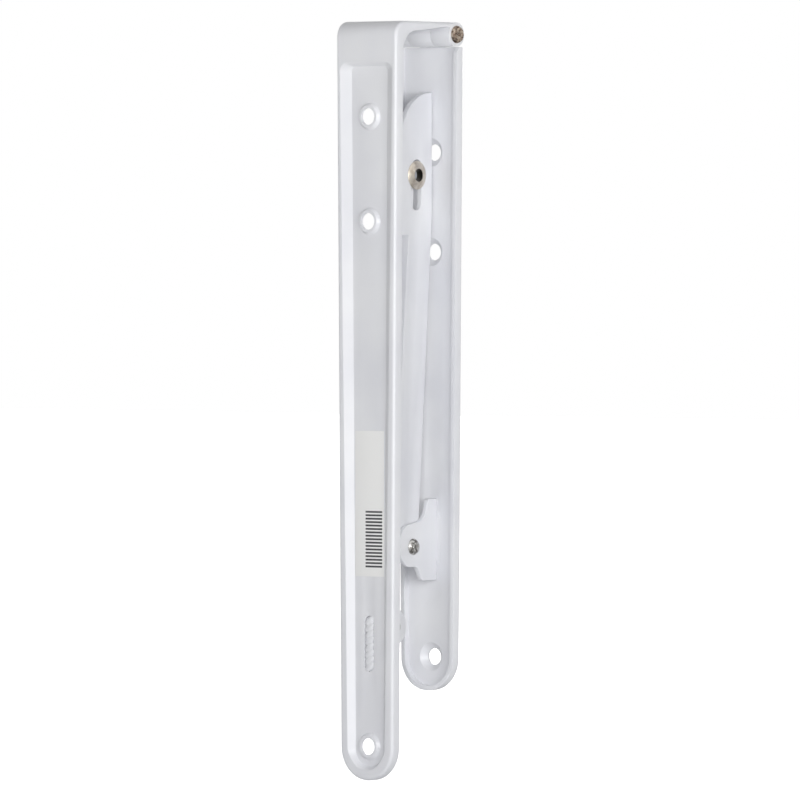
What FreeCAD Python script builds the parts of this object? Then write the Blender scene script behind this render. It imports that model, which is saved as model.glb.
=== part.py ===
"""Folding drop leaf table bracket of pressed sheet steel, shown folded.

Hinge axis along X, wall behind at +Y, +Z up. Lengths are millimetres. The solids are laid out about
the hinge axis and moved on export, so that the origin is midway between the two upper wall screw holes,
on the plane of the wall arm's screw bosses.
"""
import FreeCAD, Part
import math
import os
from FreeCAD import Vector

# Arms: two pressed sheet channels, widest at the hinge, with a full round free end
SHEET = 1.8
HINGE_WIDTH = 30.6
FREE_WIDTH = 26.2
RIM_DEPTH = 4.5
SHELF_REACH = 300.0
WALL_DROP = 261.0
FOLD_OFFSET = 38.0
BEND_RADIUS = 6.0
RIM_FILLET = 8.0
EDGE_ROUND = 1.2
ROUND_SLACK = 0.1

# Sunk panel along the shelf arm, and the screw bosses pressed outwards in both arms
PANEL_SINK = 2.3
PANEL_WIDTH = 18.4
PANEL_FREE_WIDTH = 14.0
PANEL_SLOPE = 1.6
PANEL_TOP_GAP = 13.0
PANEL_END_GAP = 5.5
PANEL_CORNER = 2.0
BOSS_RAISE = 1.2
BOSS_BASE_RADIUS = 6.3
BOSS_TOP_RADIUS = 4.4
SCREW_RADIUS = 3.3
SHELF_SCREWS = [32.8, 74.2]
WALL_SCREWS = [46.7, 86.3]
END_SCREW_GAP = 13.4

# Hinge: a staked pin through one wall knuckle between two shelf knuckles
PIN_RADIUS = 3.0
PIN_HEAD_RADIUS = 3.6
PIN_HEAD = 1.4
PIN_DIMPLE = 0.8
RUNNING_FIT = 0.05
WALL_KNUCKLE = 11.6
KNUCKLE_GAP = 0.2
SWING_GAP = 0.8

# Lugs: flat plates set on edge, each with a tenon welded into a slot in its arm
PLATE = 2.0
LUG_SLOT_LENGTH = 22.0
LUG_SLOT_WIDTH = 4.6
TENON_GAP = 0.1
TENON_DEPTH = 1.0
WELD_PROUD = 0.5
WELD_BEVEL = 0.4
LUG_CORNER = 2.0
WALL_LUG_FACE = 3.0
WALL_LUG_TOP = 184.5
WALL_LUG_BASE = 32.5
WALL_PIVOT_Y = -12.0
WALL_PIVOT_Z = -203.4
WALL_LUG_NOSE = 8.0
WALL_LUG_ROUND = 6.5
WALL_LUG_SHOULDER = 5.6
WALL_LUG_NECK = 8.0
WALL_LUG_NECK_RISE = 10.4
WALL_LUG_HOLLOW = 6.5
WALL_LUG_HEEL = 2.4
WALL_LUG_HEEL_FOOT = 5.6
SHELF_LUG_FACE = 0.8
SHELF_SLOT_Z = -241.2
SHELF_LUG_BASE = 28.0
SHELF_PIVOT_Y = -21.2
SHELF_PIVOT_Z = -235.0
SHELF_LUG_NOSE = 7.5
SHELF_LUG_HOLLOW = 4.0
SHELF_LUG_HEEL = 3.0

# Struts: a wide slotted lower strut and a plain bar behind it, joined by an eyelet
LAYER_GAP = 0.2
ELBOW_Y = -7.1
ELBOW_Z = -55.8
STRUT_BACK = 9.5
STRUT_HEAD_TOP = 23.0
STRUT_LEAN_TOP = 72.0
STRUT_HEAD_WIDTH = 19.0
STRUT_HEAD_ROUND = 18.5
STRUT_BODY_WIDTH = 15.3
STRUT_SHOULDER = 1.8
STRUT_CORNER = 3.0
STRUT_FLANGE = 4.0
STRUT_FLANGE_TOP = 79.6
STRUT_FLANGE_END = 27.5
STRUT_FOOT_RADIUS = 5.0
BAR_RADIUS = 5.0
BAR_STANDOFF = 3.8
EYELET_RADIUS = 3.2
EYELET_BORE = 2.4
EYELET_FLANGE_RADIUS = 5.8
EYELET_FLANGE = 1.0
EYELET_ROLL_RADIUS = 4.6
EYELET_ABOVE = 3.0
SLOT_GAP = 0.1
RIVET_RADIUS = 2.5
RIVET_HEAD_RADIUS = 3.4
RIVET_HEAD = 1.2

# Blank paper label on the shelf arm's panel
LABEL_WIDTH = 14.6
LABEL_LENGTH = 57.5
LABEL_THICKNESS = 0.12
LABEL_TOP = 157.0

knuckle_radius = PIN_RADIUS + RUNNING_FIT + SHEET
web_inset = knuckle_radius - SHEET
shelf_web = -FOLD_OFFSET
shelf_floor = shelf_web + PANEL_SINK
wall_web = knuckle_radius
shelf_tip = knuckle_radius - SHELF_REACH
wall_top = -knuckle_radius - SWING_GAP
boss_plane = wall_web + BOSS_RAISE
origin_z = -(WALL_SCREWS[0] + WALL_SCREWS[1]) / 2
over = 1.0
touch = 0.01
wide = HINGE_WIDTH + 2 * over

wall_pivot = Vector(0, WALL_PIVOT_Y, WALL_PIVOT_Z)
shelf_pivot = Vector(0, SHELF_PIVOT_Y, SHELF_PIVOT_Z)
elbow = Vector(0, ELBOW_Y, ELBOW_Z)
strut_face = WALL_LUG_FACE - PLATE - LAYER_GAP
bar_face = strut_face - PLATE - LAYER_GAP

# Open pose: the shelf pivot turned a quarter turn about the hinge lies in line with both struts
open_pivot = Vector(0, SHELF_PIVOT_Z, -SHELF_PIVOT_Y)
bar_elbow = elbow - Vector(0, BAR_STANDOFF, 0)
strut_length = (elbow - wall_pivot).Length
bar_length = (bar_elbow - shelf_pivot).Length
eyelet_travel = strut_length + bar_length - (open_pivot - wall_pivot).Length
to_foot = (wall_pivot - elbow).normalize()


def rounded_wire(corners, place):
    """Closed wire through corners (u, v, radius), each corner rounded by a tangent arc."""
    points = [Vector(u, v, 0) for u, v, radius in corners]
    stretches = []
    for index, (u, v, radius) in enumerate(corners):
        here = points[index]
        before = (points[index - 1] - here).normalize()
        after = (points[(index + 1) % len(points)] - here).normalize()
        if radius == 0:
            stretches.append((here, None, here))
            continue
        half = before.getAngle(after) / 2
        setback = radius / math.tan(half)
        middle = (before + after).normalize()
        crown = here + middle * (radius / math.sin(half) - radius)
        stretches.append((here + before * setback, crown, here + after * setback))
    edges = []
    for index, (start, crown, end) in enumerate(stretches):
        if crown is not None:
            edges.append(Part.Arc(place(start), place(crown), place(end)).toShape())
        following = stretches[(index + 1) % len(stretches)][0]
        if (following - end).Length > 1e-6:
            edges.append(Part.LineSegment(place(end), place(following)).toShape())
    return Part.Wire(Part.__sortEdges__(edges))


def side_prism(corners, x_low, x_high):
    """Solid with a side outline of (y, z, radius) corners, between two X planes."""
    wire = rounded_wire(corners, lambda p: Vector(x_low, p.x, p.y))
    return Part.Face(wire).extrude(Vector(x_high - x_low, 0, 0))


def front_prism(corners, y_low, y_high):
    """Solid with a front outline of (x, z, radius) corners, between two Y planes."""
    wire = rounded_wire(corners, lambda p: Vector(p.x, y_low, p.y))
    return Part.Face(wire).extrude(Vector(0, y_high - y_low, 0))


def disc(radius, centre, x_low, x_high):
    """Cylinder along X at a point of the side view."""
    return Part.makeCylinder(radius, x_high - x_low, Vector(x_low, centre.y, centre.z), Vector(1, 0, 0))


def half_width(z, tip):
    """Half of an arm's width at a height, along its straight taper from hinge to free end."""
    return (HINGE_WIDTH + (FREE_WIDTH - HINGE_WIDTH) * z / tip) / 2


def arm_outline(top, tip, inset):
    """Front outline of an arm: tapered sides and a full round free end."""
    round_end = FREE_WIDTH / 2 - inset - ROUND_SLACK
    return [
        (-half_width(top, tip) + inset, top, 0),
        (half_width(top, tip) - inset, top, 0),
        (half_width(tip, tip) - inset, tip + inset, round_end),
        (-half_width(tip, tip) + inset, tip + inset, round_end),
    ]


def panel_outline(top, tip, grow):
    """Front outline of the sunk panel, with a straight taper of its own and a full round end."""
    end = tip + PANEL_END_GAP - grow
    end_half = PANEL_FREE_WIDTH / 2 + grow
    top_half = (PANEL_WIDTH + (PANEL_FREE_WIDTH - PANEL_WIDTH) * top / tip) / 2 + grow
    corner = PANEL_CORNER + grow
    return [
        (-top_half, top + grow, corner),
        (top_half, top + grow, corner),
        (end_half, end, end_half - ROUND_SLACK),
        (-end_half, end, end_half - ROUND_SLACK),
    ]


def panel_pad(top, tip, y_base, y_face, grow):
    """Sloped form between a wider outline at y_base and the panel's own outline at y_face."""
    rim_outline = panel_outline(top, tip, PANEL_SLOPE + grow)
    wide_wire = rounded_wire(rim_outline, lambda p: Vector(p.x, y_base, p.y))
    top_wire = rounded_wire(panel_outline(top, tip, grow), lambda p: Vector(p.x, y_face, p.y))
    return Part.makeLoft([wide_wire, top_wire], True, True)


def press_panel(arm, top, tip):
    """Sink the shelf arm's panel from the web's outer face, with the same form standing out behind it."""
    behind = panel_pad(top, tip, shelf_web + SHEET, shelf_floor + SHEET, SHEET / 2)
    hollow = panel_pad(top, tip, shelf_web, shelf_floor, 0)
    return arm.fuse(behind).cut(hollow)


def press_boss(arm, face, out, z):
    """Press a screw boss outwards from a flat face, dished behind for the screw's head."""
    behind = Vector(0, face - out * SHEET, z)
    axis = Vector(0, out, 0)
    rise = BOSS_RAISE + SHEET / 2
    raised = Part.makeCone(BOSS_BASE_RADIUS, BOSS_TOP_RADIUS, rise, behind + axis * (SHEET / 2), axis)
    dish = Part.makeCone(BOSS_BASE_RADIUS - SHEET / 3, SCREW_RADIUS, rise, behind, axis)
    hole = Part.makeCylinder(SCREW_RADIUS, rise + SHEET, behind, axis)
    return arm.fuse(raised).cut(dish).cut(hole)


def slot_prism(length, width, x, z, y_low, y_high):
    """Round ended upright slot in an arm, centred on x and z."""
    radius = width / 2 - ROUND_SLACK
    half = length / 2
    corners = [
        (x - width / 2, z - half, radius),
        (x + width / 2, z - half, radius),
        (x + width / 2, z + half, radius),
        (x - width / 2, z + half, radius),
    ]
    return front_prism(corners, y_low, y_high)


def soften(arm, web):
    """Round the long outer edge where the web turns into its rim."""
    edges = []
    for edge in arm.Edges:
        box = edge.BoundBox
        on_web = abs(box.YMin - web) < touch and abs(box.YMax - web) < touch
        if on_web and edge.Length > FREE_WIDTH:
            edges.append(edge)
    return arm.makeFillet(EDGE_ROUND, edges)


def make_shelf_arm():
    """Front arm: channel, strap bent back over the top, two rolled knuckles at the strap's end."""
    top = knuckle_radius
    rim = shelf_web + RIM_DEPTH
    outer_side = [
        (shelf_web, shelf_tip - over, 0),
        (shelf_web, top, BEND_RADIUS),
        (0, top, 0),
        (0, top - SHEET, 0),
        (-knuckle_radius, top - SHEET, 0),
        (rim, top - RIM_DEPTH, RIM_FILLET),
        (rim, shelf_tip - over, 0),
    ]
    inner_side = [
        (shelf_web + SHEET, shelf_tip - over, 0),
        (shelf_web + SHEET, top - SHEET, BEND_RADIUS - SHEET),
        (over, top - SHEET, 0),
        (over, shelf_tip - over, 0),
    ]
    outer = side_prism(outer_side, -wide / 2, wide / 2)
    outer = outer.common(front_prism(arm_outline(top + over, shelf_tip, 0), shelf_web - over, over))
    arm = soften(outer, shelf_web)
    inner = side_prism(inner_side, -wide / 2, wide / 2)
    inner = inner.common(front_prism(arm_outline(top + over, shelf_tip, SHEET), shelf_web - over, 2 * over))
    arm = arm.cut(inner)
    end = half_width(top, shelf_tip)
    arm = arm.fuse(disc(knuckle_radius, Vector(), -end, end))
    notch = WALL_KNUCKLE / 2 + KNUCKLE_GAP
    reach = knuckle_radius + SWING_GAP
    arm = arm.cut(Part.makeBox(2 * notch, 2 * reach, 2 * reach, Vector(-notch, -reach, -reach)))
    arm = arm.cut(disc(PIN_RADIUS + RUNNING_FIT, Vector(), -wide, wide))
    arm = press_panel(arm, -PANEL_TOP_GAP, shelf_tip)
    for drop in SHELF_SCREWS + [-shelf_tip - END_SCREW_GAP]:
        arm = press_boss(arm, shelf_floor, -1, -drop)
    return arm.cut(lug_slot(shelf_floor, -1, SHELF_SLOT_Z, SHELF_LUG_FACE)).removeSplitter()


def make_wall_arm():
    """Back arm: channel with an open top and one rolled knuckle on a central tongue."""
    rim = wall_web - RIM_DEPTH
    outer_side = [
        (wall_web, -WALL_DROP - over, 0),
        (wall_web, wall_top, 0),
        (rim, wall_top, RIM_DEPTH / 2),
        (rim, -WALL_DROP - over, 0),
    ]
    outer = side_prism(outer_side, -wide / 2, wide / 2)
    blank = arm_outline(wall_top + over, -WALL_DROP, 0)
    outer = outer.common(front_prism(blank, rim - over, wall_web + over))
    arm = soften(outer, wall_web)
    inner = front_prism(arm_outline(wall_top + 2 * over, -WALL_DROP, SHEET), rim - over, web_inset)
    arm = arm.cut(inner)
    half = WALL_KNUCKLE / 2
    tongue = Vector(-half, web_inset, wall_top - over)
    arm = arm.fuse(Part.makeBox(WALL_KNUCKLE, SHEET, over - wall_top, tongue))
    arm = arm.fuse(disc(knuckle_radius, Vector(), -half, half))
    arm = arm.cut(disc(PIN_RADIUS + RUNNING_FIT, Vector(), -wide, wide))
    for drop in WALL_SCREWS + [WALL_DROP - END_SCREW_GAP]:
        arm = press_boss(arm, wall_web, 1, -drop)
    return arm.cut(lug_slot(wall_web, 1, wall_slot_z, WALL_LUG_FACE)).removeSplitter()


def lug_slot(face, out, z, x_face):
    """Slot through an arm's sheet for a lug's tenon."""
    low, high = sorted((face - out * (SHEET + over), face + out * over))
    return slot_prism(LUG_SLOT_LENGTH, LUG_SLOT_WIDTH, x_face - PLATE / 2, z, low, high)


def make_weld(face, out, z, x_face):
    """Weld bead that fills an arm's slot over the tenon's end and stands a little proud of the sheet."""
    crown = face + out * WELD_PROUD
    low, high = sorted((face - out * (SHEET - TENON_DEPTH - TENON_GAP), crown))
    length = LUG_SLOT_LENGTH - 2 * TENON_GAP
    bead = slot_prism(length, LUG_SLOT_WIDTH - 2 * TENON_GAP, x_face - PLATE / 2, z, low, high)
    edges = [e for e in bead.Edges if abs(e.BoundBox.Center.y - crown) < touch]
    return bead.makeChamfer(WELD_BEVEL, edges)


def make_lug(corners, face, out, z, x_face, pivot):
    """Lug plate with its tenon in the arm's slot and a hole for the pivot rivet."""
    behind = face - out * SHEET
    lug = side_prism(corners, x_face - PLATE, x_face)
    low, high = sorted((behind - out * over, behind + out * TENON_DEPTH))
    half = LUG_SLOT_LENGTH / 2 - LUG_SLOT_WIDTH / 2
    lug = lug.fuse(Part.makeBox(PLATE, high - low, 2 * half, Vector(x_face - PLATE, low, z - half)))
    return lug.cut(disc(RIVET_RADIUS + RUNNING_FIT, pivot, -wide, wide)).removeSplitter()


def make_wall_lug():
    """Wall lug: concave shoulder above, rounded nose at the pivot and an S shaped lower edge."""
    base = wall_web - SHEET
    top = -WALL_LUG_TOP
    low = top - WALL_LUG_BASE
    nose = WALL_PIVOT_Y - WALL_LUG_NOSE
    corners = [
        (base, top, 0),
        (base - WALL_LUG_SHOULDER, top, LUG_CORNER),
        (base - WALL_LUG_NECK, WALL_PIVOT_Z + WALL_LUG_NECK_RISE, WALL_LUG_HOLLOW),
        (nose, WALL_PIVOT_Z + WALL_LUG_NOSE, WALL_LUG_ROUND),
        (nose, WALL_PIVOT_Z - WALL_LUG_NOSE, WALL_LUG_ROUND),
        (WALL_PIVOT_Y + WALL_LUG_HEEL, WALL_PIVOT_Z - WALL_LUG_NOSE, LUG_CORNER),
        (WALL_PIVOT_Y + WALL_LUG_HEEL_FOOT, low, LUG_CORNER),
        (base, low, 0),
    ]
    return make_lug(corners, wall_web, 1, wall_slot_z, WALL_LUG_FACE, wall_pivot)


def make_shelf_lug():
    """Shelf lug: the same kind of plate on the front arm, with its nose towards the wall."""
    base = shelf_floor + SHEET
    top = SHELF_SLOT_Z + SHELF_LUG_BASE / 2
    low = SHELF_SLOT_Z - SHELF_LUG_BASE / 2
    nose = SHELF_PIVOT_Y + SHELF_LUG_NOSE
    corners = [
        (base, top, 0),
        (nose, SHELF_PIVOT_Z + SHELF_LUG_NOSE, SHELF_LUG_NOSE - ROUND_SLACK),
        (nose, SHELF_PIVOT_Z - SHELF_LUG_NOSE, SHELF_LUG_NOSE - ROUND_SLACK),
        (SHELF_PIVOT_Y - SHELF_LUG_NOSE, SHELF_PIVOT_Z - SHELF_LUG_NOSE, SHELF_LUG_HOLLOW),
        (base + SHELF_LUG_HEEL, low, LUG_CORNER),
        (base, low, 0),
    ]
    return make_lug(corners, shelf_floor, -1, SHELF_SLOT_Z, SHELF_LUG_FACE, shelf_pivot)


def make_lower_strut():
    """Lower strut: wide rounded head with the elbow slot, body with one edge bent into a stiffener."""
    back_top = ELBOW_Y + STRUT_BACK
    back_foot = WALL_PIVOT_Y + STRUT_FOOT_RADIUS
    foot = WALL_PIVOT_Z - STRUT_FOOT_RADIUS
    flange_top = -STRUT_FLANGE_TOP
    flange_end = WALL_PIVOT_Z + STRUT_FLANGE_END
    front_top = back_top - STRUT_HEAD_WIDTH
    bend_top = front_top + STRUT_SHOULDER
    bend_end = back_foot - STRUT_BODY_WIDTH
    plate = side_prism([
        (back_top, -STRUT_HEAD_TOP, 0),
        (front_top, -STRUT_HEAD_TOP, STRUT_HEAD_ROUND),
        (front_top, flange_top, 0),
        (bend_top, flange_top, 0),
        (bend_end, flange_end, STRUT_CORNER),
        (WALL_PIVOT_Y - STRUT_FOOT_RADIUS, foot, STRUT_FOOT_RADIUS - ROUND_SLACK),
        (back_foot, foot, STRUT_FOOT_RADIUS - ROUND_SLACK),
        (back_top, -STRUT_LEAN_TOP, 0),
    ], strut_face - PLATE, strut_face)
    flange = side_prism([
        (bend_top, flange_top, 0),
        (bend_top + PLATE, flange_top, 0),
        (bend_end + PLATE, flange_end, 0),
        (bend_end, flange_end, 0),
    ], strut_face - PLATE, strut_face + STRUT_FLANGE - PLATE)
    strut = plate.fuse(flange)
    across = Vector(0, -to_foot.z, to_foot.y) * (EYELET_RADIUS + SLOT_GAP)
    slot_head = elbow - to_foot * EYELET_ABOVE
    slot_foot = elbow + to_foot * eyelet_travel
    level = Vector(strut_face - PLATE - over, 0, 0)
    slot_edges = [slot_head + across, slot_foot + across, slot_foot - across, slot_head - across]
    slot = Part.Face(Part.makePolygon([p + level for p in slot_edges + slot_edges[:1]]))
    strut = strut.cut(slot.extrude(Vector(PLATE + 2 * over, 0, 0)))
    for end in (slot_head, slot_foot):
        strut = strut.cut(disc(EYELET_RADIUS + SLOT_GAP, end, -wide, wide))
    return strut.cut(disc(RIVET_RADIUS + RUNNING_FIT, wall_pivot, -wide, wide)).removeSplitter()


def make_upper_strut():
    """Upper strut: plain bar with round ends, from the shelf lug to the elbow."""
    along = (bar_elbow - shelf_pivot).normalize()
    across = Vector(0, -along.z, along.y) * BAR_RADIUS
    level = Vector(bar_face - PLATE, 0, 0)
    sides = [shelf_pivot + across, bar_elbow + across, bar_elbow - across, shelf_pivot - across]
    bar = Part.Face(Part.makePolygon([p + level for p in sides + sides[:1]])).extrude(Vector(PLATE, 0, 0))
    for end in (shelf_pivot, bar_elbow):
        bar = bar.fuse(disc(BAR_RADIUS, end, bar_face - PLATE, bar_face))
    bar = bar.cut(disc(RIVET_RADIUS + RUNNING_FIT, shelf_pivot, -wide, wide))
    return bar.cut(disc(EYELET_RADIUS + RUNNING_FIT, bar_elbow, -wide, wide)).removeSplitter()


def make_hinge_pin():
    """Hinge pin with both ends staked over the outer knuckles."""
    end = half_width(knuckle_radius, shelf_tip)
    pin = disc(PIN_RADIUS, Vector(), -end, end)
    for side in (-1, 1):
        axis = Vector(side, 0, 0)
        base = Vector(side * end, 0, 0)
        pin = pin.fuse(Part.makeCone(PIN_HEAD_RADIUS, PIN_RADIUS, PIN_HEAD, base, axis))
        tip = Vector(side * (end + PIN_HEAD + touch), 0, 0)
        pin = pin.cut(Part.makeCone(PIN_DIMPLE, 0, PIN_DIMPLE, tip, axis * -1))
    return pin.removeSplitter()


def make_rivet(pivot, head_face, tail_face, tail_head):
    """Pivot rivet along X with a low domed head and a tail that is flush or formed into a second head."""
    rivet = disc(RIVET_RADIUS, pivot, tail_face, head_face)
    base = Vector(head_face, pivot.y, pivot.z)
    rivet = rivet.fuse(Part.makeCone(RIVET_HEAD_RADIUS, RIVET_RADIUS, RIVET_HEAD, base, Vector(1, 0, 0)))
    if tail_head:
        base = Vector(tail_face, pivot.y, pivot.z)
        tail = Vector(-1, 0, 0)
        rivet = rivet.fuse(Part.makeCone(RIVET_HEAD_RADIUS, RIVET_RADIUS, RIVET_HEAD, base, tail))
    return rivet.removeSplitter()


def make_eyelet(centre, flange_radius, plate_low, plate_high, out):
    """One half of the tubular elbow rivet: a shank in its plate and a flange rolled over its outer end."""
    eyelet = disc(EYELET_RADIUS, centre, plate_low, plate_high)
    seat = plate_high if out > 0 else plate_low
    base = Vector(seat, centre.y, centre.z)
    rolled = EYELET_RADIUS + EYELET_FLANGE / 2
    flange = Part.makeCone(flange_radius, rolled, EYELET_FLANGE, base, Vector(out, 0, 0))
    return eyelet.fuse(flange).cut(disc(EYELET_BORE, centre, -wide, wide)).removeSplitter()


def make_label():
    """Blank paper label stuck along the shelf arm's panel."""
    face = shelf_floor
    size = Vector(LABEL_WIDTH, LABEL_THICKNESS, LABEL_LENGTH)
    corner = Vector(-LABEL_WIDTH / 2, face - LABEL_THICKNESS, -LABEL_TOP - LABEL_LENGTH)
    return Part.makeBox(size.x, size.y, size.z, corner)


wall_slot_z = -WALL_LUG_TOP - WALL_LUG_BASE / 2
bar_tail = bar_face - PLATE

pieces = {
    "wall_arm": make_wall_arm(),
    "shelf_arm": make_shelf_arm(),
    "hinge_pin": make_hinge_pin(),
    "wall_lug": make_wall_lug(),
    "wall_lug_weld": make_weld(wall_web, 1, wall_slot_z, WALL_LUG_FACE),
    "shelf_lug": make_shelf_lug(),
    "shelf_lug_weld": make_weld(shelf_floor, -1, SHELF_SLOT_Z, SHELF_LUG_FACE),
    "lower_strut": make_lower_strut(),
    "upper_strut": make_upper_strut(),
    "lower_pivot_rivet": make_rivet(wall_pivot, WALL_LUG_FACE, strut_face - PLATE, False),
    "upper_pivot_rivet": make_rivet(shelf_pivot, SHELF_LUG_FACE, bar_tail - LAYER_GAP / 2, True),
    "elbow_eyelet": make_eyelet(elbow, EYELET_FLANGE_RADIUS, strut_face - PLATE, strut_face + SLOT_GAP, 1),
    "elbow_eyelet_tail": make_eyelet(bar_elbow, EYELET_ROLL_RADIUS, bar_tail - SLOT_GAP, bar_face, -1),
    "paper_label": make_label(),
}

os.makedirs("parts", exist_ok=True)
for name, shape in pieces.items():
    shape.translate(Vector(0, -boss_plane, -origin_z))
    shape.exportStep("parts/" + name + ".step")
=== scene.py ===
import bpy
import math
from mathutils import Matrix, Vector


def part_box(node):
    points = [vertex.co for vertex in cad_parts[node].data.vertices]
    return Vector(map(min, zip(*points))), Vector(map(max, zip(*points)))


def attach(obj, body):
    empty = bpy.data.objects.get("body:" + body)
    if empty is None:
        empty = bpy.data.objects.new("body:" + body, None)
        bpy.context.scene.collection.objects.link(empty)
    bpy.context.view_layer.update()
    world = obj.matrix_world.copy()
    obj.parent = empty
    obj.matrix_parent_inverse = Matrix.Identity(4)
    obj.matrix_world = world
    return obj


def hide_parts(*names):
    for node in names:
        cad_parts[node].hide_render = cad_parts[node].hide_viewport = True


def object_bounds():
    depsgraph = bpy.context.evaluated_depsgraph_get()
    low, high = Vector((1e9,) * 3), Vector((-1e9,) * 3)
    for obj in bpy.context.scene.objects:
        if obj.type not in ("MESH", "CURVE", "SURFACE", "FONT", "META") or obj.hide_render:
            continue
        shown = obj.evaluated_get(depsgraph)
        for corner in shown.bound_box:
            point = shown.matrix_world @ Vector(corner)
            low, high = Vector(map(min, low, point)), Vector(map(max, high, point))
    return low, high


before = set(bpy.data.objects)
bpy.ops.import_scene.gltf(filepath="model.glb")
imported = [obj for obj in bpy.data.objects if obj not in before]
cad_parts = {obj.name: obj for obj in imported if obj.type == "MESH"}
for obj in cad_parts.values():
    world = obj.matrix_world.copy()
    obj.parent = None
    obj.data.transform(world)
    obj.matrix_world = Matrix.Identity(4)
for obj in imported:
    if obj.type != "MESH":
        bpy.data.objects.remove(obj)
cad_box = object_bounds()

# Wall arm: a long flat channel pressed from mild steel sheet, with dished screw bosses and one knuckle
# rolled from a tongue at its top. The whole arm is powder coated white after the lug is welded in, so
# every pressed edge is softened by the coat.
MM = 0.001
ARM_EDGE_MM = 0.7
MERGE_MM = 0.002
FLAT_DEG = 1.0
SHARP_DEG = 28
EDGE_STEPS = 3
SMOOTH_DEG = 40
COAT_WHITE = "#E9EAED"
COAT_SHADE = "#E1E2E7"
COAT_STOPS = (0.3, 0.65)
COAT_ROUGHNESS = (0.29, 0.4)
GLOSS_STOPS = (0.3, 0.7)
COAT_IOR = 1.5
MOTTLE_MM = 30.0
ORANGE_PEEL_MM = 1.1
PEEL_DEPTH_MM = 0.05
PEEL_STRENGTH = 0.12


def linear(hex_colour):
    """Linear RGBA of an sRGB hex colour."""
    channels = [int(hex_colour[i:i + 2], 16) / 255 for i in (1, 3, 5)]
    curve = [c / 12.92 if c <= 0.04045 else ((c + 0.055) / 1.055) ** 2.4 for c in channels]
    return (*curve, 1.0)


def add_node(owner, kind, inputs, **settings):
    """One node of a material or a world with its settings; an input is a value or another node's socket."""
    tree = owner.node_tree
    made = tree.nodes.new(kind)
    for name, value in settings.items():
        setattr(made, name, value)
    for name, value in inputs.items():
        if isinstance(value, bpy.types.NodeSocket):
            tree.links.new(value, made.inputs[name])
        else:
            made.inputs[name].default_value = value
    return made


def new_material(name):
    """Node material with no nodes in it yet."""
    material = bpy.data.materials.new(name)
    material.use_nodes = True
    material.node_tree.nodes.clear()
    return material


def only(piece):
    """Make one object the only selected and active one."""
    bpy.ops.object.select_all(action="DESELECT")
    piece.select_set(True)
    bpy.context.view_layer.objects.active = piece


def soften(piece, edge_mm):
    """Round every sharp edge of a piece, as a thick coat or a tumbled finish does, and shade it smooth."""
    only(piece)
    bevel = piece.modifiers.new("coat_round", "BEVEL")
    bevel.limit_method = "ANGLE"
    bevel.angle_limit = math.radians(SHARP_DEG)
    bevel.width = edge_mm * MM
    bevel.segments = EDGE_STEPS
    bevel.use_clamp_overlap = True
    bpy.ops.object.modifier_apply(modifier=bevel.name)
    bpy.ops.object.shade_smooth_by_angle(angle=math.radians(SMOOTH_DEG))


def from_node(node, name, edge_mm, reshape=None):
    """Copy of a construction solid with merged faces and softened edges, standing for that solid."""
    piece = bpy.data.objects.new(name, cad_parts[node].data.copy())
    bpy.context.collection.objects.link(piece)
    only(piece)
    bpy.ops.mesh.customdata_custom_splitnormals_clear()
    bpy.ops.object.mode_set(mode="EDIT")
    bpy.ops.mesh.select_all(action="SELECT")
    bpy.ops.mesh.remove_doubles(threshold=MERGE_MM * MM)
    bpy.ops.mesh.dissolve_limited(angle_limit=math.radians(FLAT_DEG))
    bpy.ops.object.mode_set(mode="OBJECT")
    if reshape:
        reshape(piece)
    soften(piece, edge_mm)
    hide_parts(node)
    return piece


def settle(piece, material, body):
    """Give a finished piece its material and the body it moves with."""
    piece.data.materials.clear()
    piece.data.materials.append(material)
    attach(piece, body)


# White epoxy polyester powder coat, baked: a soft gloss with a faint orange peel and almost no colour change
powder_coat = new_material("white_powder_coat")
coat_place = add_node(powder_coat, "ShaderNodeTexCoord", {})
coat_mottle = add_node(
    powder_coat, "ShaderNodeTexNoise",
    {"Vector": coat_place.outputs["Object"], "Scale": 1 / (MOTTLE_MM * MM), "Detail": 2.0})
coat_colour = add_node(powder_coat, "ShaderNodeValToRGB", {"Fac": coat_mottle.outputs["Fac"]})
for stop, colour, position in zip(coat_colour.color_ramp.elements, (COAT_SHADE, COAT_WHITE), COAT_STOPS):
    stop.color = linear(colour)
    stop.position = position
coat_peel = add_node(
    powder_coat, "ShaderNodeTexNoise",
    {"Vector": coat_place.outputs["Object"], "Scale": 1 / (ORANGE_PEEL_MM * MM), "Detail": 1.0})
coat_gloss = add_node(
    powder_coat, "ShaderNodeMapRange",
    {"Value": coat_mottle.outputs["Fac"], "From Min": GLOSS_STOPS[0], "From Max": GLOSS_STOPS[1],
     "To Min": COAT_ROUGHNESS[0], "To Max": COAT_ROUGHNESS[1]})
coat_bump = add_node(
    powder_coat, "ShaderNodeBump",
    {"Height": coat_peel.outputs["Fac"], "Strength": PEEL_STRENGTH, "Distance": PEEL_DEPTH_MM * MM})
coat_shader = add_node(
    powder_coat, "ShaderNodeBsdfPrincipled",
    {"Base Color": coat_colour.outputs["Color"], "Roughness": coat_gloss.outputs["Result"],
     "Normal": coat_bump.outputs["Normal"], "IOR": COAT_IOR})
add_node(powder_coat, "ShaderNodeOutputMaterial", {"Surface": coat_shader.outputs["BSDF"]})

TOP_EDGE_RAISE_MM = 0.72
TOP_EDGE_DROP_MM = 5.65
TOP_EDGE_BAND_MM = 0.3
TONGUE_HALF_MM = 5.5
pin_low, pin_high = (Vector(corner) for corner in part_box("hinge_pin"))
pin_middle = (pin_low + pin_high) / 2


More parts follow.
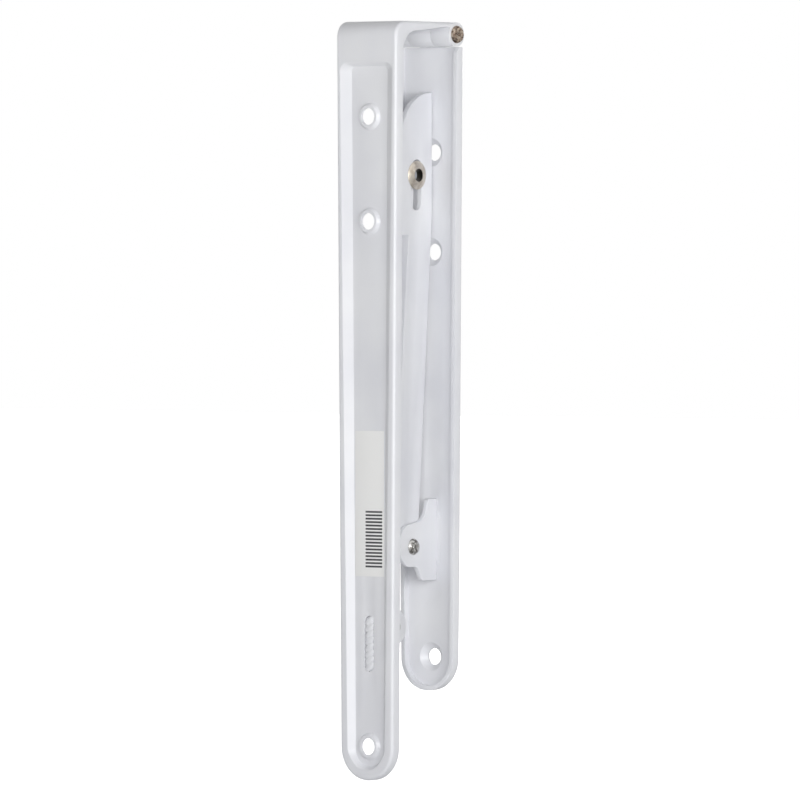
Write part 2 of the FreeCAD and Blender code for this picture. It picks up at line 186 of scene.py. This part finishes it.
def close_top(piece):
    """Bring the sheared top edge beside the tongue close under the shelf arm's knuckles."""
    top_edge = pin_middle.z - TOP_EDGE_DROP_MM * MM
    for vertex in piece.data.vertices:
        beside_tongue = abs(vertex.co.x) > TONGUE_HALF_MM * MM
        if beside_tongue and abs(vertex.co.z - top_edge) < TOP_EDGE_BAND_MM * MM:
            vertex.co.z += TOP_EDGE_RAISE_MM * MM


wall_arm = from_node("wall_arm", "wall_arm_pressing", ARM_EDGE_MM, close_top)
settle(wall_arm, powder_coat, "wall_arm")

# Shelf arm: a longer pressing with a sunk panel, its top bent back into a strap that ends in two rolled
# knuckles. It carries the table leaf and is coated like the wall arm.
PANEL_SPREAD_MM = 2.6
SPREAD_FADE_MM = (8.0, 22.0)
SHOULDER_MM = 2.5
FREE_HALF_MM = 13.1
WEB_BAND_MM = 0.02
arm_low, arm_high = (Vector(corner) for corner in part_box("shelf_arm"))


def spread_panel(piece):
    """Draw the panel's long sides out to gentle slopes that start near the arm's edges."""
    fade_start, fade_end = SPREAD_FADE_MM
    free_half = FREE_HALF_MM * MM
    for vertex in piece.data.vertices:
        above_tip = vertex.co.z - arm_low.z
        half = free_half + (arm_high.x - free_half) * above_tip / (arm_high.z - arm_low.z)
        on_web = vertex.co.y < arm_low.y + WEB_BAND_MM * MM
        if on_web and abs(vertex.co.x) < half - SHOULDER_MM * MM:
            fade = (above_tip / MM - fade_start) / (fade_end - fade_start)
            reach = max(0.0, min(1.0, fade)) * PANEL_SPREAD_MM * MM
            vertex.co.x += math.copysign(reach, vertex.co.x)


shelf_arm = from_node("shelf_arm", "shelf_arm_pressing", ARM_EDGE_MM, spread_panel)
settle(shelf_arm, powder_coat, "shelf_arm")

# Lugs: flat plates cut from the same steel, set on edge with their tenons through the arms and welded from
# outside, then coated with them.
LUG_EDGE_MM = 0.3
for lug, body in (("wall_lug", "wall_arm"), ("shelf_lug", "shelf_arm")):
    settle(from_node(lug, lug + "_plate", LUG_EDGE_MM), powder_coat, body)

# Weld beads: weld metal that fills each slot beside its tenon, closed outside by a run of slanted ripples
# and coated over, so that only the softened ripples show.
FILL_TO_INSIDE_MM = 1.05
FILL_BELOW_CROWN_MM = 0.85
RIPPLES = 8
RIPPLE_END_PITCHES = 0.4
RIPPLE_TILT_DEG = 38
RIPPLE_OVERLAP = 1.05
RIPPLE_WIDTH_SHARE = 0.6
RIPPLE_CROWN_SHARE = 0.62
RIPPLE_SINK_SHARE = 0.12
RIPPLE_SEGMENTS = 24
RIPPLE_RINGS = 16
WELD_VOXEL_MM = 0.12
for weld, body, outward in (("wall_lug_weld", "wall_arm", 1), ("shelf_lug_weld", "shelf_arm", -1)):
    low, high = (Vector(corner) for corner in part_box(weld))
    centre = (low + high) / 2
    size = high - low
    bead = bpy.data.objects.new(weld + "_bead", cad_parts[weld].data.copy())
    bpy.context.collection.objects.link(bead)
    # The filling is the bead's own solid, moved in from the crown to the arm's inside
    for vertex in bead.data.vertices:
        outside = (vertex.co.y - centre.y) * outward > 0
        vertex.co.y -= outward * (FILL_BELOW_CROWN_MM if outside else FILL_TO_INSIDE_MM) * MM
    pitch = size.z / (RIPPLES + RIPPLE_END_PITCHES)
    half_sizes = (size.x * RIPPLE_WIDTH_SHARE, size.y * RIPPLE_CROWN_SHARE, pitch * RIPPLE_OVERLAP / 2)
    # Each ripple is a flattened ball, tilted and sunk into the crown, and all fuse with the filling
    ripples = []
    for index in range(RIPPLES):
        lift = (index - (RIPPLES - 1) / 2) * pitch
        bpy.ops.mesh.primitive_uv_sphere_add(segments=RIPPLE_SEGMENTS, ring_count=RIPPLE_RINGS, radius=1.0)
        ripples.append(bpy.context.object)
        bpy.ops.object.mode_set(mode="EDIT")
        bpy.ops.transform.resize(value=half_sizes)
        bpy.ops.transform.rotate(
            value=math.radians(RIPPLE_TILT_DEG), orient_axis="Y", center_override=(0, 0, 0))
        bpy.ops.transform.translate(
            value=(centre.x, centre.y - outward * RIPPLE_SINK_SHARE * size.y, centre.z + lift))
        bpy.ops.object.mode_set(mode="OBJECT")
    only(bead)
    for ripple in ripples:
        ripple.select_set(True)
    bpy.ops.object.join()
    remesh = bead.modifiers.new("fuse", "REMESH")
    remesh.mode = "VOXEL"
    remesh.voxel_size = WELD_VOXEL_MM * MM
    bpy.ops.object.modifier_apply(modifier=remesh.name)
    smooth = bead.modifiers.new("flow", "SMOOTH")
    smooth.iterations = 1
    bpy.ops.object.modifier_apply(modifier=smooth.name)
    bpy.ops.object.shade_smooth()
    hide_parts(weld)
    settle(bead, powder_coat, body)

# Struts: the slotted lower strut with its stiffening edge and the plain bar behind it, both blanked from
# steel sheet and coated before they are riveted to the lugs.
STRUT_EDGE_MM = 0.3
lower_strut = from_node("lower_strut", "lower_strut_plate", STRUT_EDGE_MM)
settle(lower_strut, powder_coat, "lower_strut")
upper_strut = from_node("upper_strut", "upper_strut_bar", STRUT_EDGE_MM)
settle(upper_strut, powder_coat, "upper_strut")

# Hinge pin: drawn steel wire cut to length, its ends staked over the knuckles after coating. Each bare end
# shows a ring of peening dents and brown tarnish.
PIN_EDGE_MM = 0.25
STAKE_DENTS = 7
STAKE_RING_SHARE = 0.62
STAKE_DENT_MM = 0.55
STEEL_LIGHT = "#BBAD9E"
STEEL_TARNISH = "#55443A"
STEEL_ROUGHNESS = 0.38
TARNISH_MM = 1.4
TARNISH_STOPS = (0.37, 0.57)
TARNISH_DEPTH_MM = 0.1
TARNISH_STRENGTH = 0.25


def worn_metal(name, light, dark, patch_mm, roughness):
    """Bare or plated metal whose colour and height change in small patches of tarnish."""
    metal = new_material(name)
    place = add_node(metal, "ShaderNodeTexCoord", {})
    patch = add_node(
        metal, "ShaderNodeTexNoise",
        {"Vector": place.outputs["Object"], "Scale": 1 / (patch_mm * MM), "Detail": 3.0})
    tarnish = add_node(metal, "ShaderNodeValToRGB", {"Fac": patch.outputs["Fac"]})
    for stop, colour, position in zip(tarnish.color_ramp.elements, (dark, light), TARNISH_STOPS):
        stop.color = linear(colour)
        stop.position = position
    bump = add_node(
        metal, "ShaderNodeBump",
        {"Height": patch.outputs["Fac"], "Strength": TARNISH_STRENGTH, "Distance": TARNISH_DEPTH_MM * MM})
    shader = add_node(
        metal, "ShaderNodeBsdfPrincipled",
        {"Base Color": tarnish.outputs["Color"], "Metallic": 1.0, "Roughness": roughness,
         "Normal": bump.outputs["Normal"]})
    add_node(metal, "ShaderNodeOutputMaterial", {"Surface": shader.outputs["BSDF"]})
    return metal


# Bare drawn steel, staked and tarnished: a dull shine broken by small brown patches
pin_steel = worn_metal("staked_pin_steel", STEEL_LIGHT, STEEL_TARNISH, TARNISH_MM, STEEL_ROUGHNESS)


def dent(piece, centres, radius):
    """Press round dents into a piece at the given points."""
    bpy.ops.object.select_all(action="DESELECT")
    marks = []
    for centre in centres:
        bpy.ops.mesh.primitive_ico_sphere_add(subdivisions=3, radius=radius)
        marks.append(bpy.context.object)
        bpy.ops.object.mode_set(mode="EDIT")
        bpy.ops.transform.translate(value=centre)
        bpy.ops.object.mode_set(mode="OBJECT")
    only(marks[0])
    for mark in marks:
        mark.select_set(True)
    bpy.ops.object.join()
    tool = bpy.context.object
    only(piece)
    press = piece.modifiers.new("dents", "BOOLEAN")
    press.operation = "DIFFERENCE"
    press.solver = "EXACT"
    press.use_self = True
    press.object = tool
    bpy.ops.object.modifier_apply(modifier=press.name)
    bpy.data.objects.remove(tool)
    bpy.ops.object.shade_smooth_by_angle(angle=math.radians(SMOOTH_DEG))


def ring_points(x, middle, radius, count):
    """Points evenly spaced on a circle about an X axis."""
    turns = [2 * math.pi * index / count for index in range(count)]
    return [(x, middle.y + radius * math.cos(t), middle.z + radius * math.sin(t)) for t in turns]


pin = from_node("hinge_pin", "hinge_pin_staked", PIN_EDGE_MM)
pin_radius = (pin_high.z - pin_low.z) / 2
for end in (pin_low.x, pin_high.x):
    dent(pin, ring_points(end, pin_middle, pin_radius * STAKE_RING_SHARE, STAKE_DENTS), STAKE_DENT_MM * MM)
settle(pin, pin_steel, "shelf_arm")

# Pivot rivets: plain steel rivets that hold the struts to the lugs, closed after coating, with a few peening
# dents in the head on the near side.
RIVET_EDGE_MM = 0.25
RIVET_DENTS = 4
RIVET_RING_SHARE = 0.4
RIVET_DENT_MM = 0.5
RIVET_LIGHT = "#CDCCC9"
RIVET_DARK = "#66635F"
RIVET_ROUGHNESS = 0.34
RIVET_PATCH_MM = 1.2

# Bare rivet steel, hammered closed: a cool grey shine with small darker patches
rivet_steel = worn_metal("closed_rivet_steel", RIVET_LIGHT, RIVET_DARK, RIVET_PATCH_MM, RIVET_ROUGHNESS)
for rivet, body in (("lower_pivot_rivet", "wall_arm"), ("upper_pivot_rivet", "shelf_arm")):
    piece = from_node(rivet, rivet + "_closed", RIVET_EDGE_MM)
    low, high = (Vector(corner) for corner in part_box(rivet))
    middle = (low + high) / 2
    head_radius = (high.z - low.z) / 2
    dent(piece, ring_points(high.x, middle, head_radius * RIVET_RING_SHARE, RIVET_DENTS), RIVET_DENT_MM * MM)
    settle(piece, rivet_steel, body)

# Elbow eyelet: a tubular rivet of nickel plated steel, with a wide flange on the near side and a narrower
# one on the far side. Its front half slides in the lower strut's slot and its tail stays in the upper strut.
# Inside the bore its colour is darkened to almost black, as painted shade.
EYELET_EDGE_MM = 0.2
NICKEL = "#DDD5C9"
NICKEL_DULL = "#BDB2A4"
NICKEL_ROUGHNESS = 0.3
NICKEL_PATCH_MM = 3.0
BORE_MM = 2.4
BORE_SHADE_TONE = 0.1
BORE_SHADE_FADE = (1.02, 1.15)
ACROSS_AXIS = (0, 1, 1)

for eyelet, body in (("elbow_eyelet", "elbow_eyelet"), ("elbow_eyelet_tail", "upper_strut")):
    # Nickel plate on a steel tube: a warm bright ring round a bore, with painted shade that darkens the bore
    # to almost black
    nickel = worn_metal(eyelet + "_nickel", NICKEL, NICKEL_DULL, NICKEL_PATCH_MM, NICKEL_ROUGHNESS)
    plated = nickel.node_tree.nodes["Principled BSDF"].inputs["Base Color"]
    low, high = (Vector(corner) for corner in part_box(eyelet))
    # Painted shade: near the eyelet's axis the nickel colour is multiplied down to almost black
    nickel_place = add_node(nickel, "ShaderNodeTexCoord", {})
    from_middle = add_node(
        nickel, "ShaderNodeVectorMath", {0: nickel_place.outputs["Object"], 1: (low + high) / 2},
        operation="SUBTRACT")
    from_axis = add_node(
        nickel, "ShaderNodeVectorMath", {0: from_middle.outputs["Vector"], 1: ACROSS_AXIS},
        operation="MULTIPLY")
    reach = add_node(nickel, "ShaderNodeVectorMath", {0: from_axis.outputs["Vector"]}, operation="LENGTH")
    bore_shade = add_node(
        nickel, "ShaderNodeMapRange",
        {"Value": reach.outputs["Value"], "From Min": BORE_SHADE_FADE[0] * BORE_MM * MM,
         "From Max": BORE_SHADE_FADE[1] * BORE_MM * MM, "To Min": BORE_SHADE_TONE, "To Max": 1.0})
    bore_shaded = add_node(
        nickel, "ShaderNodeVectorMath", {0: plated.links[0].from_socket, 1: bore_shade.outputs["Result"]},
        operation="MULTIPLY")
    nickel.node_tree.links.new(bore_shaded.outputs["Vector"], plated)
    settle(from_node(eyelet, eyelet + "_tube", EYELET_EDGE_MM), nickel, body)

# Paper label: a small sheet of coated paper, cut with square corners and stuck along the shelf arm's panel.
# Plain even bars fill its lower part.
LABEL_EDGE_MM = 0.04
PAPER_WHITE = "#F2F2F1"
BAR_GREY = "#4A4A4D"
PAPER_ROUGHNESS = 0.55
BAR_PITCH_MM = 1.35
BAR_DARK_SHARE = 0.55
BARS_UP = (0.06, 0.45)
BARS_ACROSS = (0.36, 0.94)
FIBRE_MM = 0.6
FIBRE_DEPTH_MM = 0.03
FIBRE_STRENGTH = 0.08
label_low, label_high = (Vector(corner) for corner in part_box("paper_label"))
label_size = label_high - label_low
bar_block = [label_low.z + share * label_size.z for share in BARS_UP]
bar_sides = [label_low.x + share * label_size.x for share in BARS_ACROSS]

# Coated label paper: a smooth, nearly matt white with crisp dark grey bars. Real fibres are too fine to show,
# so their grain is drawn coarser
paper = new_material("coated_label_paper")
paper_place = add_node(paper, "ShaderNodeTexCoord", {})
paper_axes = add_node(paper, "ShaderNodeSeparateXYZ", {"Vector": paper_place.outputs["Object"]})
bar_phase = add_node(
    paper, "ShaderNodeMath", {0: paper_axes.outputs["Z"], 1: 1 / (BAR_PITCH_MM * MM)}, operation="MULTIPLY")
bar_part = add_node(paper, "ShaderNodeMath", {0: bar_phase.outputs[0]}, operation="FRACT")
bars = add_node(paper, "ShaderNodeMath", {0: bar_part.outputs[0], 1: BAR_DARK_SHARE}, operation="LESS_THAN")
mask = bars.outputs[0]
for axis, (lowest, highest) in (("Z", bar_block), ("X", bar_sides)):
    along = paper_axes.outputs[axis]
    above = add_node(paper, "ShaderNodeMath", {0: along, 1: lowest}, operation="GREATER_THAN")
    below = add_node(paper, "ShaderNodeMath", {0: along, 1: highest}, operation="LESS_THAN")
    within = add_node(
        paper, "ShaderNodeMath", {0: above.outputs[0], 1: below.outputs[0]}, operation="MULTIPLY")
    masked = add_node(paper, "ShaderNodeMath", {0: mask, 1: within.outputs[0]}, operation="MULTIPLY")
    mask = masked.outputs[0]
paper_fibre = add_node(
    paper, "ShaderNodeTexNoise",
    {"Vector": paper_place.outputs["Object"], "Scale": 1 / (FIBRE_MM * MM), "Detail": 3.0})
paper_colour = add_node(paper, "ShaderNodeMix", {"Factor": mask}, data_type="RGBA")
for socket in paper_colour.inputs:
    if socket.type == "RGBA":
        socket.default_value = linear(PAPER_WHITE if socket.name == "A" else BAR_GREY)
paper_result = [socket for socket in paper_colour.outputs if socket.type == "RGBA"][0]
paper_bump = add_node(
    paper, "ShaderNodeBump",
    {"Height": paper_fibre.outputs["Fac"], "Strength": FIBRE_STRENGTH, "Distance": FIBRE_DEPTH_MM * MM})
paper_shader = add_node(
    paper, "ShaderNodeBsdfPrincipled",
    {"Base Color": paper_result, "Roughness": PAPER_ROUGHNESS, "Normal": paper_bump.outputs["Normal"]})
add_node(paper, "ShaderNodeOutputMaterial", {"Surface": paper_shader.outputs["BSDF"]})
label = from_node("paper_label", "paper_label_sheet", LABEL_EDGE_MM)
settle(label, paper, "shelf_arm")

# Floor and light: a wide pale floor just under the shelf arm's tip and a white surround, as in a photo
# studio, with four soft lamps at a plain level that all turn to a point near the bracket's middle.
FLOOR_COLOUR = "#F6F6F6"
FLOOR_ROUGHNESS = 0.9
FLOOR_DROP_MM = 0.3
FLOOR_WIDTH_M = 12.0
SURROUND_WHITE = "#FFFFFF"
SEEN_LEVEL = 1.0
WORLD_LEVEL = 0.24
AIM_M = (0, -0.0252, -0.076)

bpy.ops.object.select_all(action="DESELECT")
bpy.ops.mesh.primitive_plane_add(size=FLOOR_WIDTH_M, location=(0, 0, cad_box[0][2] - FLOOR_DROP_MM * MM))
floor = bpy.context.object
floor.name = "floor"

# Pale matt floor paint that also glows evenly for the camera, so that the ground looks white
floor_paint = new_material("pale_floor")
floor_rays = add_node(floor_paint, "ShaderNodeLightPath", {})
floor_shader = add_node(
    floor_paint, "ShaderNodeBsdfPrincipled",
    {"Base Color": linear(FLOOR_COLOUR), "Roughness": FLOOR_ROUGHNESS,
     "Emission Color": linear(FLOOR_COLOUR), "Emission Strength": floor_rays.outputs["Is Camera Ray"]})
add_node(floor_paint, "ShaderNodeOutputMaterial", {"Surface": floor_shader.outputs["BSDF"]})
floor.data.materials.append(floor_paint)

# White surround: full white where the camera or a reflection sees it, and a dim fill everywhere else
scene = bpy.context.scene
scene.view_settings.view_transform = "Standard"
world = bpy.data.worlds.new("studio")
scene.world = world
world.use_nodes = True
world.node_tree.nodes.clear()
rays = add_node(world, "ShaderNodeLightPath", {})
seen = add_node(
    world, "ShaderNodeMath", {0: rays.outputs["Is Camera Ray"], 1: rays.outputs["Is Glossy Ray"]},
    operation="MAXIMUM")
level = add_node(
    world, "ShaderNodeMapRange", {"Value": seen.outputs[0], "To Min": WORLD_LEVEL, "To Max": SEEN_LEVEL})
sky = add_node(
    world, "ShaderNodeBackground", {"Color": linear(SURROUND_WHITE), "Strength": level.outputs["Result"]})
add_node(world, "ShaderNodeOutputWorld", {"Surface": sky.outputs["Background"]})

aim = Vector(AIM_M)
for name, place, width, power in (
        ("front_softbox", (0.8, -0.95, -0.04), 0.6, 8.2),
        ("right_softbox", (1.3, -0.5, 0.0), 0.5, 5.0),
        ("left_softbox", (-1.0, -0.7, 0.3), 0.8, 0.8),
        ("back_softbox", (-0.5, 1.3, 0.4), 0.6, 7.0)):
    lamp = bpy.data.lights.new(name, "AREA")
    lamp.size = width
    lamp.energy = power
    holder = bpy.data.objects.new(name, lamp)
    bpy.context.collection.objects.link(holder)
    holder.location = place
    holder.rotation_euler = (aim - Vector(place)).to_track_quat("-Z", "Y").to_euler()

# Camera: far off with a long lens, almost level with the bracket and 39 degrees to its right, as in the
# photograph. Its distance and scale come from a camera fitted to that picture.
VIEW_AZIMUTH = math.radians(39.0)
VIEW_ELEVATION = math.radians(0.97)
VIEW_DISTANCE_M = 3.489
VIEW_END_M = 50.0
PIXELS_PER_MM = 2.5215
PICTURE_PIXELS = 800
SENSOR_MM = 36.0
AIM_RIGHT_MM = 1.55
AIM_DOWN_MM = 2.5
right = Vector((math.cos(VIEW_AZIMUTH), math.sin(VIEW_AZIMUTH), 0))
away = Vector((
    math.sin(VIEW_AZIMUTH) * math.cos(VIEW_ELEVATION),
    -math.cos(VIEW_AZIMUTH) * math.cos(VIEW_ELEVATION),
    math.sin(VIEW_ELEVATION)))
looked_at = aim + right * AIM_RIGHT_MM * MM - Vector((0, 0, AIM_DOWN_MM * MM))
lens = bpy.data.cameras.new("camera")
lens.sensor_width = SENSOR_MM
lens.lens = PIXELS_PER_MM * VIEW_DISTANCE_M / MM * SENSOR_MM / PICTURE_PIXELS
lens.clip_end = VIEW_END_M
camera = bpy.data.objects.new("camera", lens)
bpy.context.collection.objects.link(camera)
camera.location = looked_at + away * VIEW_DISTANCE_M
camera.rotation_euler = (-away).to_track_quat("-Z", "Y").to_euler()
scene.camera = camera
